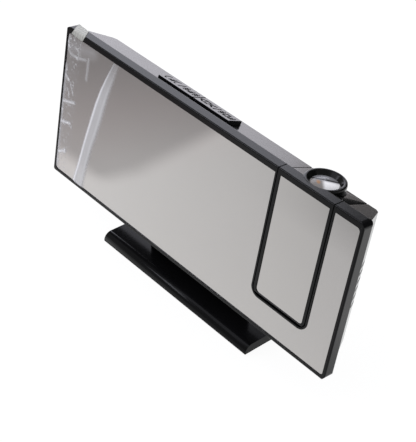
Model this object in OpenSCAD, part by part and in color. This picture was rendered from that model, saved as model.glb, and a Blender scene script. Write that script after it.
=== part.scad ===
// Mirror-faced desk clock on a foot bar, with a projector arm that folds out of the face.
// Millimetres, +Z up, the display looks along -Y, origin under the middle of the foot.
// The clock body is drawn upright and then leaned back about its lower front edge.

/* [Body] */
// Width of the clock body
body_w = 191; // [186:1:200]
// Height of the front face
body_h = 80; // [79:0.5:84]
// Depth from the front face to the rear face
body_d = 22.4; // [22.2:0.1:24]
// Depth of the front frame
frame_d = 5.8; // [5.5:0.1:6]
// Angle the body leans back
lean_deg = 5.45; // [3:0.05:8]
// Corner radius of the front frame
frame_r = 2.7; // [2.4:0.1:4]
// Rounding along the front edges of the frame
edge_r = 0.7; // [0.5:0.1:1.2]
// Rounding along the rear edges of the frame
back_edge_r = 0.8; // [0.6:0.1:1]
// Wall of the rear housing
wall = 2; // [1.8:0.1:2.1]
// How far the rear housing starts inside the frame
step = 1.9; // [1.6:0.1:2.1]
// Drop of the rear housing's top and bottom at the rear face
top_drop = 6.9; // [6.4:0.1:7.2]
// Inset of the rear housing's ends at the rear face
side_drop = 10.2; // [9.6:0.1:11]
// Cut across the rear housing's rear corners
corner_cut = 1.2; // [0.8:0.1:1.5]

/* [Mirror] */
// Width of the frame's lip above the mirrors
lip_top = 2.9; // [2.2:0.1:3.2]
// Width of the frame's lip below the mirror
lip_bottom = 1.9; // [1.4:0.1:2.2]
// Width of the frame's lip at the ends of the mirror
lip_side = 1.6; // [1.3:0.1:1.9]
// Width of the frame's lip around the arm's notch
lip_notch = 0.85; // [0.8:0.05:1]
// Thickness of the mirror panels
mirror_t = 1; // [0.8:0.1:1.1]
// How far the mirrors sit behind the front face
mirror_sink = 0.3; // [0.2:0.05:0.4]
// Thickness of the transit film on the mirror
film_t = 0.12; // [0.08:0.02:0.16]
// Distance of the film's pull tab from the body's left end
tab_from_end = 3.7; // [2.8:0.1:7]
// Width of the pull tab
tab_w = 8.3; // [5:0.1:12]
// How far the pull tab hangs down the front
tab_down = 3.4; // [2:0.1:6]
// How far the pull tab lies back over the top
tab_back = 4.8; // [3:0.1:4.9]
// Thickness of the pull tab
tab_t = 0.2; // [0.1:0.05:0.3]

/* [Projector arm] */
// Distance of the arm's middle from the body's right end
arm_from_end = 32.1; // [31.5:0.1:32.9]
// Width of the arm
arm_w = 31; // [30.4:0.1:31.4]
// Gap between the arm and its pocket
arm_gap = 0.5; // [0.4:0.05:0.6]
// Height of the arm's lower edge
arm_z = 16.5; // [16.3:0.1:17]
// Radius of the arm's lower corners
arm_corner = 3.5; // [2.8:0.1:4]
// Width of the arm's black edge beside its mirror
arm_lip = 1.5; // [1.3:0.1:1.8]
// Width of the arm's black edge below its mirror
arm_lip_bottom = 1.2; // [1:0.1:1.5]
// Rounding of the arm's lower front edge, which turns into the pocket
arm_toe_r = 1.4; // [1.3:0.1:1.6]
// Gap between the path of that edge and the trough it turns in
sweep_gap = 0.35; // [0.3:0.01:0.4]
// Distance of the hinge behind the front face
hinge_y = 7.4; // [7.3:0.05:7.5]
// Height of the hinge
hinge_z = 26.2; // [26.2:0.1:27]
// Radius of the hinge pins
pin_r = 1.5; // [1.3:0.05:1.7]
// Radial clearance of the hinge pins in the housing
pin_clear = 0.05; // [0.03:0.01:0.08]

/* [Projector lens] */
// Wall of the lens barrel round the focus ring's neck
barrel_wall = 0.95; // [0.9:0.05:1.1]
// Overhang of the focus ring beyond the barrel
ring_over = 1.3; // [1:0.1:1.4]
// Depth of the focus ring's rim below the body's top
ring_drop = 0.7; // [0.4:0.1:1.2]
// Wall of the focus ring's neck round the lens
neck_wall = 0.8; // [0.75:0.05:1]
// Radial clearance of the neck in the lens barrel
neck_clear = 0.05; // [0.03:0.01:0.08]
// Gap around the focus ring
ring_gap = 0.35; // [0.3:0.05:0.4]

/* [Keys] */
// Left end of the pair of top keys
key_x0 = -37.6; // [-42:0.1:-34]
// Right end of the pair of top keys
key_x1 = 9; // [6:0.1:12]
// Depth of the top keys along the slope
key_len = 9.3; // [8.5:0.1:9.8]
// Height of the top keys above the slope
key_rise = 2.2; // [1.8:0.1:2.6]
// Travel of the top keys
key_travel = 0.8; // [0.5:0.1:0.9]
// Gap around a key
key_gap = 0.3; // [0.25:0.05:0.35]
// Radius of the rear setting keys
rear_key_r = 2.8; // [2.4:0.1:3]
// How far the rear keys stand out
rear_key_rise = 0.9; // [0.7:0.1:1.2]
// Distance between the rear keys
rear_key_pitch = 10; // [9.6:0.1:10.4]
// Travel of the rear keys
rear_key_travel = 0.6; // [0.4:0.1:0.7]

/* [Foot] */
// Width of the foot bar
foot_w = 102.3; // [98:0.5:120]
// Depth of the foot bar
foot_d = 48; // [46:0.5:56]
// Thickness of the foot bar
foot_t = 4.6; // [4.2:0.1:5]
// Rounding along the foot bar's front and rear edges
foot_nose = 4; // [3:0.1:4.1]
// How far the foot reaches in front of the body's lower edge
foot_reach = 1.2; // [0.6:0.1:3]
// Height of the body's lower front edge above the foot's underside
foot_drop = 17.7; // [16.5:0.1:19]
// Width of the stem between foot and body
stem_w = 64; // [58:0.5:66]
// Thickness of the stem
stem_t = 6.4; // [6:0.1:6.5]
// Height of the rubber strips below the foot
pad_h = 0.8; // [0.5:0.1:1.2]

/* [Inside] */
// Slack between parts that fit into each other
fit = 0.1; // [0.06:0.02:0.14]
// Thickness of the circuit boards
board_t = 1.2; // [1:0.1:1.4]
// Number of vent slots in the right end
vent_count = 6; // [4:1:7]
// Distance between the vent slots
vent_pitch = 4.2; // [3.6:0.05:4.4]
// Height of a vent slot
vent_h = 1.5; // [1.2:0.1:1.8]
// Radius of the backup cell
cell_r = 10; // [9.6:0.1:10.2]
// Thickness of the backup cell
cell_t = 3.2; // [2.8:0.1:3.3]

/* [Hidden] */
$fn = 64;
over = 1;

// Where the body's lower front edge stands
edge_y = -foot_d / 2 + foot_reach;
edge_z = pad_h + foot_drop;

// Slopes of the rear housing
slope_a = atan((top_drop - step) / (body_d - frame_d));
side_a = atan((side_drop - step) / (body_d - frame_d));
function slope_z(y, inset) = body_h - step - (y - frame_d) * tan(slope_a) - inset / cos(slope_a);
function floor_z(y, inset) = step + (y - frame_d) * tan(slope_a) + inset / cos(slope_a);
function side_x(y, inset) = body_w / 2 - step - (y - frame_d) * tan(side_a) - inset / cos(side_a);

// Layers behind the front face
mirror_r = 1.7;
mirror_back = mirror_sink + mirror_t;
web_t = 2;
web_back = mirror_back + web_t;
rim = step + wall + 0.4;
rear_in = body_d - wall;

// Projector arm
arm_x = body_w / 2 - arm_from_end;
slot_half = arm_w / 2 + arm_gap;
toe_swing = norm([hinge_y - arm_toe_r, hinge_z - arm_z - arm_toe_r]) + arm_toe_r;
trough_r = toe_swing + sweep_gap;
trough_corner = 0.45 * arm_corner;
heel_y = hinge_y + 0.9 * sqrt(pow(toe_swing, 2) - pow(hinge_z - arm_z, 2));
shin_y = hinge_y + trough_r - trough_corner - 0.3;
pocket_wall = 2;
boss_r = pin_r + 2.2;
boss_len = 4;
pin_in = 8;
cavity_z = hinge_z + 6;
arm_wall = 2;
arm_screw_out = 4.5;
arm_screw_y = 14;
arm_screw_z = hinge_z + 2.6;
arm_screw_r = 1.1;
arm_head_r = 2.2;

// Projector optics along the lens axis
ring_top = body_h - ring_drop;
barrel_slack = 0.55;
barrel_r = (rear_in - web_back) / 2 - barrel_slack;
lens_y = (rear_in + web_back) / 2 + 0.25;
neck_r = barrel_r - barrel_wall - neck_clear;
lens_r = neck_r - neck_wall;
ring_r = barrel_r + ring_over;
optics_len = 36.3;
ring_bottom = body_h - top_drop + 0.6;
ring_floor = ring_bottom - ring_gap;
barrel_top = ring_floor - 2.4;
barrel_bottom = ring_top - optics_len;
thread_z = ring_top - 17.3;
neck_end = thread_z + 3;
lens_seat = ring_top - 3.9;
lens_dome_r = 12.6;
cone_depth = 1.9;
lcd_z = barrel_bottom + optics_len / 4;
lcd_t = 1.2;
condenser_z = lcd_z - 4;
condenser_rise = 3.4;
condenser_r = barrel_r - 1.8;
condenser_dome_r = 9;
led_r = 2.4;
led_h = 2.2;
lens_rise = 3.6;
barrel_bore = barrel_r - 1.4;
lcd_w = 1.56 * barrel_bore;
lcd_d = 0.75 * lcd_w;
barrel_seat = barrel_r - 2.6;
led_board_w = 20;
led_board_d = 14.4;

// Foot and stem
stem_y1 = rear_in - fit;
stem_y0 = stem_y1 - stem_t;
stem_top = 13.2;
stem_low = -foot_drop + foot_t - 1.6;
stem_screw_x = 18;
stem_screw_z = 10;
stem_head_r = 2.5;
pad_in = 11;
pad_w = 7;
rib_bay = (foot_w - 10) / 4;
rib_bay_d = 11;

// Inside the body
board_y = rear_in - 7.6;
board_back = board_y + board_t;
screw_x = [-body_w / 2 + 18, arm_x - slot_half - 6.9];
screw_z = [14, body_h - 14];
digit_x0 = screw_x[0] + 7;
digit_w = screw_x[1] - 2.5 - digit_x0;
digit_pitch = 22;
colon_gap = 8;
colon_r = 1.4;
seg_w = 14;
seg_t = 2.6;
seg_y = mirror_back + 0.2;
digit_margin = (digit_w - 3 * digit_pitch - colon_gap - seg_w) / 2;
seg_gap = 0.4;
seg_floor = 6;
tube_r = 3.9;
tube_y = 8;
head_y = 11.5;
screw_r = 1.25;
flange_t = 1.2;
board_clear = 3.8;
board_x0 = digit_x0 + 2;
board_w = screw_x[1] - tube_r - 2.6 - board_x0;
board_z0 = stem_top + 4.3;
board_h = slope_z(board_back, wall + flange_t + key_travel + board_clear) - board_z0;
board_top = board_z0 + board_h;
digit_z0 = board_z0 + 6.5;
digit_h = board_top - 7.5 - digit_z0;
seg_h = digit_h - 10;
post_in = [4, 3];
post_x = [board_x0 + post_in[0], board_x0 + board_w - post_in[0]];
post_z = [board_z0 + post_in[1], board_top - post_in[1]];
post_r = 2.6;
post_bore = 4.5;
rear_key_z = board_top - 8.5;
rear_key_x0 = digit_x0 + 14;
rear_flange_t = 1.2;
switch_w = 6;
switch_t = 2.4;
stub_r = 1.6;
top_switch_z = board_top - 5.5;
top_switch_d = 4;
top_switch_h = 4.4;
top_stub = 1.2;
socket_x = digit_x0 + 20;
socket_z = board_z0 + 9.5;
socket_w = 7.6;
socket_h = 2.8;
socket_wall = 0.35;
cell_in = 26;
cell_x = board_x0 + board_w - cell_in;
cell_z = body_h / 2;
cell_y = body_d - 6;
cover_r = cell_r + 2.5;
cover_gap = 0.3;
cover_y = cell_y + cell_t + 0.45;
lug_out = 1.2;
lug_t = 0.9;
lug_across = 6;
lug_turn = 50;
coin_slot = 1.28 * cover_r;
contact_w = 0.4 * cell_r;
contact_t = 0.3;
sounder_y = 12;
sounder_z = body_h / 2 - 1.2;
sounder_r = 5;
sounder_t = 3;
vent_y0 = 8.6;
vent_y1 = body_d - 1.8;

// Top keys, in the frame of the slope
key_y0 = 1.7;
key_mid = (key_x0 + key_x1) / 2;
key_split = 0.5;
flange_top = -wall - 0.15;
flange_out = 1;

// Placing helpers
module lean() {
    translate([0, edge_y, edge_z]) rotate([-lean_deg, 0, 0]) children();
}

// Extrudes a drawing of (y, z) along +X
module along_x(x0, len) {
    translate([x0, 0, 0]) rotate([90, 0, 90]) linear_extrude(height = len) children();
}

// Extrudes a drawing of (x, z) along +Y
module along_y(y0, len) {
    translate([0, y0 + len, 0]) rotate([90, 0, 0]) linear_extrude(height = len) children();
}

// A cylinder along +Y
module rod_y(x, y0, z, r, len) {
    translate([x, y0 + len, z]) rotate([90, 0, 0]) cylinder(r = r, h = len);
}

// A cylinder along +X
module rod_x(x0, y, z, r, len) {
    translate([x0, y, z]) rotate([0, 90, 0]) cylinder(r = r, h = len);
}

// The slope of the housing's top: x along the body, y down the slope, z out of it
module on_slope() {
    translate([0, frame_d, body_h - step]) rotate([-slope_a, 0, 0]) children();
}

module rounded_panel(w, h, r) {
    translate([-w / 2, r]) square([w, h - 2 * r]);
    translate([-w / 2 + r, 0]) square([w - 2 * r, h]);
    for (x = [-1, 1]) {
        for (z = [r, h - r]) {
            translate([x * (w / 2 - r), z]) circle(r = r);
        }
    }
}

// A U open at the top, around the arm
module u_shape(half, bottom, r, top) {
    translate([arm_x - half, bottom + r]) square([2 * half, top - bottom - r]);
    translate([arm_x - half + r, bottom]) square([2 * (half - r), r + over]);
    for (x = [-1, 1]) {
        translate([arm_x + x * (half - r), bottom + r]) circle(r = r);
    }
}

// The front outline, without the arm's notch, drawn in by inset
module face_outline(inset) {
    difference() {
        translate([0, inset])
            rounded_panel(body_w - 2 * inset, body_h - 2 * inset, max(frame_r - inset, 0.6));
        notch_shape(inset);
    }
}

// The notch the arm sits in, drawn larger by out
module notch_shape(out) {
    u_shape(slot_half + out, arm_z - arm_gap - out, arm_corner + arm_gap + out, body_h + over);
}

// The main mirror's outline, drawn in by inset
module mirror_outline(inset) {
    difference() {
        translate([0, lip_bottom + inset])
            rounded_panel(body_w - 2 * (lip_side + inset), body_h - lip_bottom - lip_top - 2 * inset,
                          mirror_r);
        notch_shape(lip_notch + inset);
    }
}

// A strip from 0 to depth, its corners rounded by r_front at 0 and by r_back at depth
module nosed_strip(depth, len, r_front, r_back) {
    translate([r_front, 0]) square([depth - r_front - r_back, len]);
    translate([0, r_front]) square([r_front + over, len - 2 * r_front]);
    translate([depth - r_back - over, r_back]) square([r_back + over, len - 2 * r_back]);
    for (side = [[r_front, r_front], [depth - r_back, r_back]]) {
        for (z = [side[1], len - side[1]]) {
            translate([side[0], z]) circle(r = side[1]);
        }
    }
}

// Rear housing, tapered on four sides
module housing_form(inset, y0, y1) {
    intersection() {
        along_x(-body_w / 2, body_w)
            polygon([[y0, floor_z(y0, inset)], [y0, slope_z(y0, inset)],
                     [y1, slope_z(y1, inset)], [y1, floor_z(y1, inset)]]);
        translate([0, 0, -over])
            linear_extrude(height = body_h + 2 * over)
                polygon([[-side_x(y0, inset), y0], [side_x(y0, inset), y0],
                         [side_x(y1 - corner_cut, inset), y1 - corner_cut], [side_x(y1, inset) - corner_cut, y1],
                         [corner_cut - side_x(y1, inset), y1], [-side_x(y1 - corner_cut, inset), y1 - corner_cut]]);
    }
}

// Space the arm fills and the path its toe sweeps
module arm_pocket() {
    along_y(-over, hinge_y + over)
        u_shape(slot_half, arm_z - arm_gap, arm_corner + arm_gap, body_h + over);
    along_x(arm_x - slot_half, 2 * slot_half)
        polygon([[-over, hinge_z], [shin_y + 1.4 * arm_gap, hinge_z],
                 [body_d + over, hinge_z + body_d + over - shin_y - 1.4 * arm_gap],
                 [body_d + over, body_h + over], [-over, body_h + over]]);
    translate([arm_x, hinge_y, hinge_z])
        rotate([0, 90, 0])
            rotate_extrude()
                trough_section();
}

module trough_section() {
    polygon([[0, -slot_half], [trough_r - trough_corner, -slot_half],
             [trough_r, -slot_half + trough_corner], [trough_r, slot_half - trough_corner],
             [trough_r - trough_corner, slot_half], [0, slot_half]]);
}

// Bosses beside the pocket that hold the outer ends of the hinge pins
module hinge_bosses(out) {
    for (s = [-1, 1]) {
        rod_x(arm_x + s * (slot_half + pocket_wall + boss_len / 2) - boss_len / 2 - 0.2 - out,
              hinge_y, hinge_z, boss_r + out, boss_len + 0.4 + 2 * out);
    }
}

// A screw along -Y: head behind y, shank in front of it
module screw_y(x, y, z, head_r, head_h, shank_r, shank_len) {
    rod_y(x, y, z, head_r, head_h);
    rod_y(x, y - shank_len, z, shank_r, shank_len + over / 2);
}

module cross_slot_y(x, y, z, r) {
    translate([x - r, y, z - 0.3]) cube([2 * r, over, 0.6]);
    translate([x - 0.3, y, z - r]) cube([0.6, over, 2 * r]);
}

// Front of the body
module front_frame() {
    color([0.05, 0.05, 0.055]) lean() difference() {
        union() {
            difference() {
                intersection() {
                    along_y(0, frame_d) face_outline(0);
                    along_x(-body_w / 2, body_w) nosed_strip(frame_d, body_h, edge_r, back_edge_r);
                    translate([body_w / 2, 0, -over])
                        linear_extrude(height = body_h + 2 * over)
                            rotate(90) nosed_strip(frame_d, body_w, edge_r, back_edge_r);
                }
                along_y(-over, over + mirror_back) mirror_outline(0);
                along_y(web_back, frame_d) face_outline(rim);
            }
            for (x = screw_x, z = screw_z) {
                rod_y(x, web_back - over / 2, z, tube_r - 0.9, tube_y - web_back + over / 2);
            }
        }
        translate([digit_x0 - fit, mirror_back - over / 2, digit_z0 - fit])
            cube([digit_w + 2 * fit, web_t + over, digit_h + 2 * fit]);
        for (x = screw_x, z = screw_z) {
            rod_y(x, web_back + 0.8, z, screw_r + fit / 2, tube_y);
        }
        arm_pocket();
        hinge_bosses(fit);
    }
}

module main_mirror() {
    color([0.7, 0.69, 0.68]) lean()
        along_y(mirror_sink, mirror_t) mirror_outline(fit / 2);
}

module protective_film() {
    color([0.85, 0.85, 0.87, 0.3]) lean()
        along_y(mirror_sink - film_t, film_t) mirror_outline(fit);
}

module film_pull_tab() {
    color([0.78, 0.78, 0.75]) lean() along_x(-body_w / 2 + tab_from_end, tab_w) {
        translate([-tab_t, body_h - tab_down]) square([tab_t, tab_down - edge_r]);
        translate([edge_r, body_h]) square([tab_back - edge_r, tab_t]);
        intersection() {
            translate([edge_r, body_h - edge_r]) difference() {
                circle(r = edge_r + tab_t);
                circle(r = edge_r);
            }
            translate([-tab_t, body_h - edge_r]) square([edge_r + tab_t, edge_r + tab_t]);
        }
    }
}

// Rear housing with everything moulded into it
module rear_housing() {
    color([0.09, 0.09, 0.095]) lean() difference() {
        union() {
            difference() {
                housing_form(0, frame_d, body_d);
                housing_form(wall, frame_d - over, rear_in);
            }
            intersection() {
                housing_form(0, frame_d, body_d);
                translate([arm_x - slot_half - pocket_wall, 0, hinge_z - trough_r - pocket_wall])
                    cube([2 * (slot_half + pocket_wall), body_d, body_h]);
            }
            intersection() {
                housing_form(0, frame_d, body_d);
                translate([-stem_w / 2 - 2.2, stem_y0 - 2.2, 0]) cube([stem_w + 4.4, body_d, stem_top + 2.2]);
            }
            intersection() {
                housing_form(0, frame_d, body_d);
                for (x = screw_x, z = screw_z) {
                    rod_y(x, tube_y, z, tube_r, body_d);
                }
            }
            for (x = post_x, z = post_z) {
                rod_y(x, board_back, z, post_r, rear_in - board_back + over);
            }
            rod_y(cell_x, cell_y - 1.6, cell_z, cover_r + lug_out + 2, body_d - cell_y + 1.6);
            hinge_bosses(0);
        }
        arm_pocket();
        rod_x(arm_x - slot_half - pocket_wall - boss_len - over, hinge_y, hinge_z, pin_r + pin_clear,
              2 * (slot_half + pocket_wall + boss_len + over));
        stem_socket();
        top_key_opening();
        rear_openings();
        vent_slots();
    }
}

module stem_socket() {
    translate([-stem_w / 2 - fit, stem_y0 - fit, -over])
        cube([stem_w + 2 * fit, stem_t + 2 * fit, stem_top + over]);
    for (s = [-1, 1]) {
        rod_y(s * stem_screw_x, rear_in - over, stem_screw_z, screw_r + fit, wall + 2 * over);
    }
}

module top_key_opening() {
    on_slope()
        translate([key_x0 - key_gap, key_y0 - key_gap, -wall - over])
            cube([key_x1 - key_x0 + 2 * key_gap, key_len + 2 * key_gap, wall + 2 * over]);
}

module rear_openings() {
    for (i = [0:4]) {
        rod_y(rear_key_x0 + i * rear_key_pitch, rear_in - over, rear_key_z,
              rear_key_r + key_gap, wall + 2 * over);
    }
    for (x = screw_x, z = screw_z) {
        rod_y(x, tube_y - over, z, screw_r + 2 * fit, body_d);
        rod_y(x, head_y, z, tube_r - 1.1, body_d);
    }
    for (x = post_x, z = post_z) {
        rod_y(x, board_back - over, z, 0.9 + fit / 2, post_bore + over);
    }
    translate([socket_x - socket_w / 2 - key_gap, rear_in - over, socket_z - socket_h / 2 - key_gap])
        cube([socket_w + 2 * key_gap, wall + 2 * over, socket_h + 2 * key_gap]);
    rod_y(cell_x, cell_y, cell_z, cell_r + 0.3, body_d);
    rod_y(cell_x, cover_y - cover_gap, cell_z, cover_r + cover_gap, body_d);
    rod_y(cell_x, cover_y - cover_gap, cell_z, cover_r + lug_out + cover_gap, lug_t + 2 * cover_gap);
    rotate_about_cell(lug_turn) lug_pair(lug_out + 2 * cover_gap, lug_across + 1, cover_y, body_d);
}

module rotate_about_cell(angle) {
    translate([cell_x, 0, cell_z]) rotate([0, angle, 0]) children();
}

// Two lugs on the edge of the cell cover
module lug_pair(out, across, y0, len) {
    intersection() {
        rod_y(0, y0, 0, cover_r + out, len);
        translate([-cover_r - out - over, y0, -across / 2]) cube([2 * (cover_r + out + over), len, across]);
    }
}

module vent_slots() {
    for (i = [0:vent_count - 1]) {
        translate([side_x(vent_y1, wall) - 0.3, vent_y0,
                   sounder_z + (i - (vent_count - 1) / 2) * vent_pitch - vent_h / 2])
            cube([body_w / 2, vent_y1 - vent_y0, vent_h]);
    }
}

// Display and boards
module digit_cells(shrink, y0, y1) {
    for (i = [0:3]) {
        dx = digit_x0 + digit_margin + i * digit_pitch + (i > 1 ? colon_gap : 0);
        dz = digit_z0 + (digit_h - seg_h) / 2;
        half_h = (seg_h - seg_t) / 2;
        for (k = [0:2]) {
            translate([dx + seg_t + seg_gap + shrink, y0, dz + k * half_h + shrink])
                cube([seg_w - 2 * (seg_t + seg_gap + shrink), y1 - y0, seg_t - 2 * shrink]);
        }
        for (x = [0, seg_w - seg_t], k = [0, 1]) {
            translate([dx + x + shrink, y0, dz + seg_t + seg_gap + k * half_h + shrink])
                cube([seg_t - 2 * shrink, y1 - y0, half_h - seg_t - 2 * (seg_gap + shrink)]);
        }
    }
    for (k = [0, 1]) {
        rod_y(digit_x0 + digit_w / 2, y0, digit_z0 + digit_h / 2 + (k - 0.5) * colon_gap,
              colon_r - shrink, y1 - y0);
    }
}

module digit_mask() {
    color([0.12, 0.12, 0.12]) lean() difference() {
        translate([digit_x0, mirror_back, digit_z0]) cube([digit_w, board_y - mirror_back, digit_h]);
        digit_cells(0, mirror_back - over, seg_floor);
    }
}

module led_digits() {
    color([0.9, 0.9, 0.88]) lean() digit_cells(fit / 2, seg_y, seg_floor);
}

module main_board() {
    color([0.05, 0.25, 0.12]) lean() difference() {
        translate([board_x0, board_y, board_z0]) cube([board_w, board_t, board_h]);
        for (x = post_x, z = post_z) {
            rod_y(x, board_y - over, z, 1.2, board_t + 2 * over);
        }
    }
}

module board_screws() {
    color([0.7, 0.7, 0.72]) lean() for (x = post_x, z = post_z) {
        rod_y(x, board_y - 1.4, z, 2, 1.4);
        rod_y(x, board_y - over / 2, z, 0.9, board_t + post_bore - 0.5 + over / 2);
    }
}

// Small push switches behind the rear keys and under the top keys
module key_switches() {
    color([0.2, 0.2, 0.2]) lean() {
        for (i = [0:4]) {
            x = rear_key_x0 + i * rear_key_pitch;
            translate([x - switch_w / 2, board_back, rear_key_z - switch_w / 2])
                cube([switch_w, switch_t, switch_w]);
            rod_y(x, board_back + switch_t / 2, rear_key_z, stub_r,
                  rear_key_inner() - board_back - switch_t / 2 - rear_key_travel - 0.15);
        }
        for (s = [-1, 1]) {
            x = key_mid + s * (key_x1 - key_x0) / 4;
            translate([x - switch_w / 2, board_y - top_switch_d, top_switch_z])
                cube([switch_w, top_switch_d, top_switch_h]);
            translate([x, board_y - top_switch_d / 2, top_switch_z + top_switch_h / 2])
                cylinder(r = stub_r, h = top_switch_h / 2 + top_stub);
        }
    }
}

module power_socket() {
    color([0.75, 0.75, 0.76]) lean() difference() {
        translate([socket_x - socket_w / 2, board_back, socket_z - socket_h / 2])
            cube([socket_w, body_d - 0.5 - board_back, socket_h]);
        difference() {
            translate([socket_x - socket_w / 2 + socket_wall, board_back + 2,
                       socket_z - socket_h / 2 + socket_wall])
                cube([socket_w - 2 * socket_wall, body_d, socket_h - 2 * socket_wall]);
            translate([socket_x - socket_w / 4, board_back + 1, socket_z - 0.3])
                cube([socket_w / 2, body_d - board_back - 3, 0.6]);
        }
    }
}

module sounder() {
    color([0.15, 0.15, 0.15]) lean() difference() {
        rod_x(arm_x + slot_half + pocket_wall, sounder_y, sounder_z, sounder_r, sounder_t);
        rod_x(arm_x + slot_half + pocket_wall + sounder_t - 1, sounder_y, sounder_z, sounder_r / 5, 2);
    }
}

// Backup cell and its turning cover
module backup_cell() {
    color([0.75, 0.75, 0.75]) lean() rod_y(cell_x, cell_y + contact_t, cell_z, cell_r, cell_t);
}

module cell_contact() {
    color([0.8, 0.78, 0.7]) lean() translate([cell_x - contact_w / 2, cell_y, cell_z - 1.5 * contact_w])
        cube([contact_w, contact_t, 3 * contact_w]);
}

module cell_cover() {
    color([0.09, 0.09, 0.095]) lean() difference() {
        union() {
            rod_y(cell_x, cover_y, cell_z, cover_r, body_d - 0.2 - cover_y);
            rotate_about_cell(0) lug_pair(lug_out, lug_across, cover_y, lug_t);
        }
        translate([cell_x - coin_slot / 2, body_d - 1.2, cell_z - 0.9]) cube([coin_slot, 2, 1.8]);
    }
}

module housing_screws() {
    color([0.35, 0.35, 0.36]) lean() for (x = screw_x, z = screw_z) {
        difference() {
            screw_y(x, head_y, z, tube_r - 1.4, 1.8, screw_r, head_y - web_back - 1);
            cross_slot_y(x, head_y + 1, z, 1.5);
        }
    }
}

// Keys
module top_key(x0, x1, out0, out1) {
    on_slope() {
        translate([x0, key_y0, flange_top - flange_t / 2])
            cube([x1 - x0, key_len, key_rise - flange_top + flange_t / 2]);
        translate([x0 - out0, key_y0 - flange_out, flange_top - flange_t])
            cube([x1 - x0 + out0 + out1, key_len + 2 * flange_out, flange_t]);
    }
    top_key_pusher((key_x0 + key_x1) / 2 + sign(x0 + x1 - key_x0 - key_x1) * (key_x1 - key_x0) / 4);
}

// Rib under a top key that reaches down to its switch
module top_key_pusher(x) {
    tip_z = top_switch_z + top_switch_h + top_stub + key_travel + 0.3;
    intersection() {
        translate([x - stub_r, board_y - top_switch_d / 2 - 1.2, tip_z]) cube([2 * stub_r, 2.4, body_h]);
        on_slope()
            translate([-body_w / 2, 0, -body_h])
                cube([body_w, body_d, body_h + flange_top - flange_t / 2]);
    }
}

module snooze_key() {
    color([0.3, 0.3, 0.31]) lean() top_key(key_x0, key_mid - key_split / 2, flange_out, 0);
}

module light_key() {
    color([0.3, 0.3, 0.31]) lean() top_key(key_mid + key_split / 2, key_x1, 0, flange_out);
}

// Inner face of a rear key's flange
function rear_key_inner() = rear_in - 0.15 - rear_flange_t;

module rear_key(i) {
    x = rear_key_x0 + i * rear_key_pitch;
    color([0.3, 0.3, 0.31]) lean() {
        rod_y(x, rear_key_inner() + 0.5, rear_key_z, rear_key_r,
              body_d + rear_key_rise - rear_key_inner() - 0.5);
        rod_y(x, rear_key_inner(), rear_key_z, rear_key_r + 1.2, rear_flange_t);
    }
}

module set_key() {
    rear_key(0);
}

module up_key() {
    rear_key(1);
}

module down_key() {
    rear_key(2);
}

module alarm_key() {
    rear_key(3);
}

module time_key() {
    rear_key(4);
}

// Projector arm, drawn whole and then parted behind the front frame
module arm_profile() {
    difference() {
        polygon([[0, arm_z], [heel_y, arm_z], [shin_y, hinge_z],
                 [body_d, hinge_z + body_d - shin_y], [body_d, body_h - top_drop],
                 [frame_d, body_h - step], [frame_d, body_h], [0, body_h]]);
        difference() {
            translate([-over, arm_z - over]) square(arm_toe_r + over);
            translate([arm_toe_r, arm_z + arm_toe_r]) circle(r = arm_toe_r);
        }
        difference() {
            translate([-over, body_h - edge_r]) square(edge_r + over);
            translate([edge_r, body_h - edge_r]) circle(r = edge_r);
        }
        difference() {
            translate([frame_d - back_edge_r, body_h - back_edge_r]) square(back_edge_r + over);
            translate([frame_d - back_edge_r, body_h - back_edge_r]) circle(r = back_edge_r);
        }
    }
}

module arm_form() {
    intersection() {
        along_x(arm_x - arm_w / 2, arm_w) arm_profile();
        along_y(-over, body_d + 2 * over) u_shape(arm_w / 2, arm_z, arm_corner, body_h + over);
    }
}

module arm_cavity() {
    along_x(arm_x - arm_w / 2 + arm_wall, arm_w - 2 * arm_wall)
        polygon([[web_back, cavity_z], [rear_in, cavity_z], [rear_in, slope_z(rear_in, arm_wall)],
                 [frame_d, slope_z(frame_d, arm_wall)], [web_back, slope_z(frame_d, arm_wall)]]);
}

module arm_mirror_shape(inset) {
    intersection() {
        u_shape(arm_w / 2 - arm_lip - inset, arm_z + arm_lip_bottom + inset, arm_corner - arm_lip - inset,
                body_h + over);
        translate([arm_x - arm_w, 0]) square([2 * arm_w, body_h - lip_top - inset]);
    }
}

module lens_axis() {
    translate([arm_x, lens_y, 0]) children();
}

module arm_body() {
    difference() {
        union() {
            difference() {
                arm_form();
                arm_cavity();
            }
            intersection() {
                arm_form();
                lens_axis() translate([0, 0, barrel_top]) cylinder(r = ring_r + 2, h = body_h);
            }
        }
        along_y(-over, over + mirror_back) arm_mirror_shape(0);
        lens_axis() translate([0, 0, ring_floor]) cylinder(r = ring_r + ring_gap, h = body_h);
        lens_axis() translate([0, 0, barrel_top - over]) cylinder(r = neck_r + ring_gap, h = body_h);
        for (s = [-1, 1]) {
            rod_x(arm_x + s * (arm_w / 2 - pin_in / 2) - pin_in / 2 - (s < 0 ? over : 0),
                  hinge_y, hinge_z, pin_r, pin_in + over);
            rod_y(arm_x + s * arm_screw_out, web_back + 0.6, arm_screw_z, arm_screw_r + fit / 2, body_d);
            rod_y(arm_x + s * arm_screw_out, arm_screw_y, arm_screw_z, arm_head_r + 0.2, body_d);
        }
    }
}

module arm_front() {
    color([0.05, 0.05, 0.055]) lean() intersection() {
        arm_body();
        translate([0, -over, 0]) cube([body_w, over + frame_d, body_h + over]);
    }
}

module arm_rear() {
    color([0.09, 0.09, 0.095]) lean() intersection() {
        arm_body();
        translate([0, frame_d, 0]) cube([body_w, body_d, body_h + over]);
    }
}

module arm_mirror() {
    color([0.7, 0.69, 0.68]) lean() along_y(mirror_sink, mirror_t) arm_mirror_shape(fit / 2);
}

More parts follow.
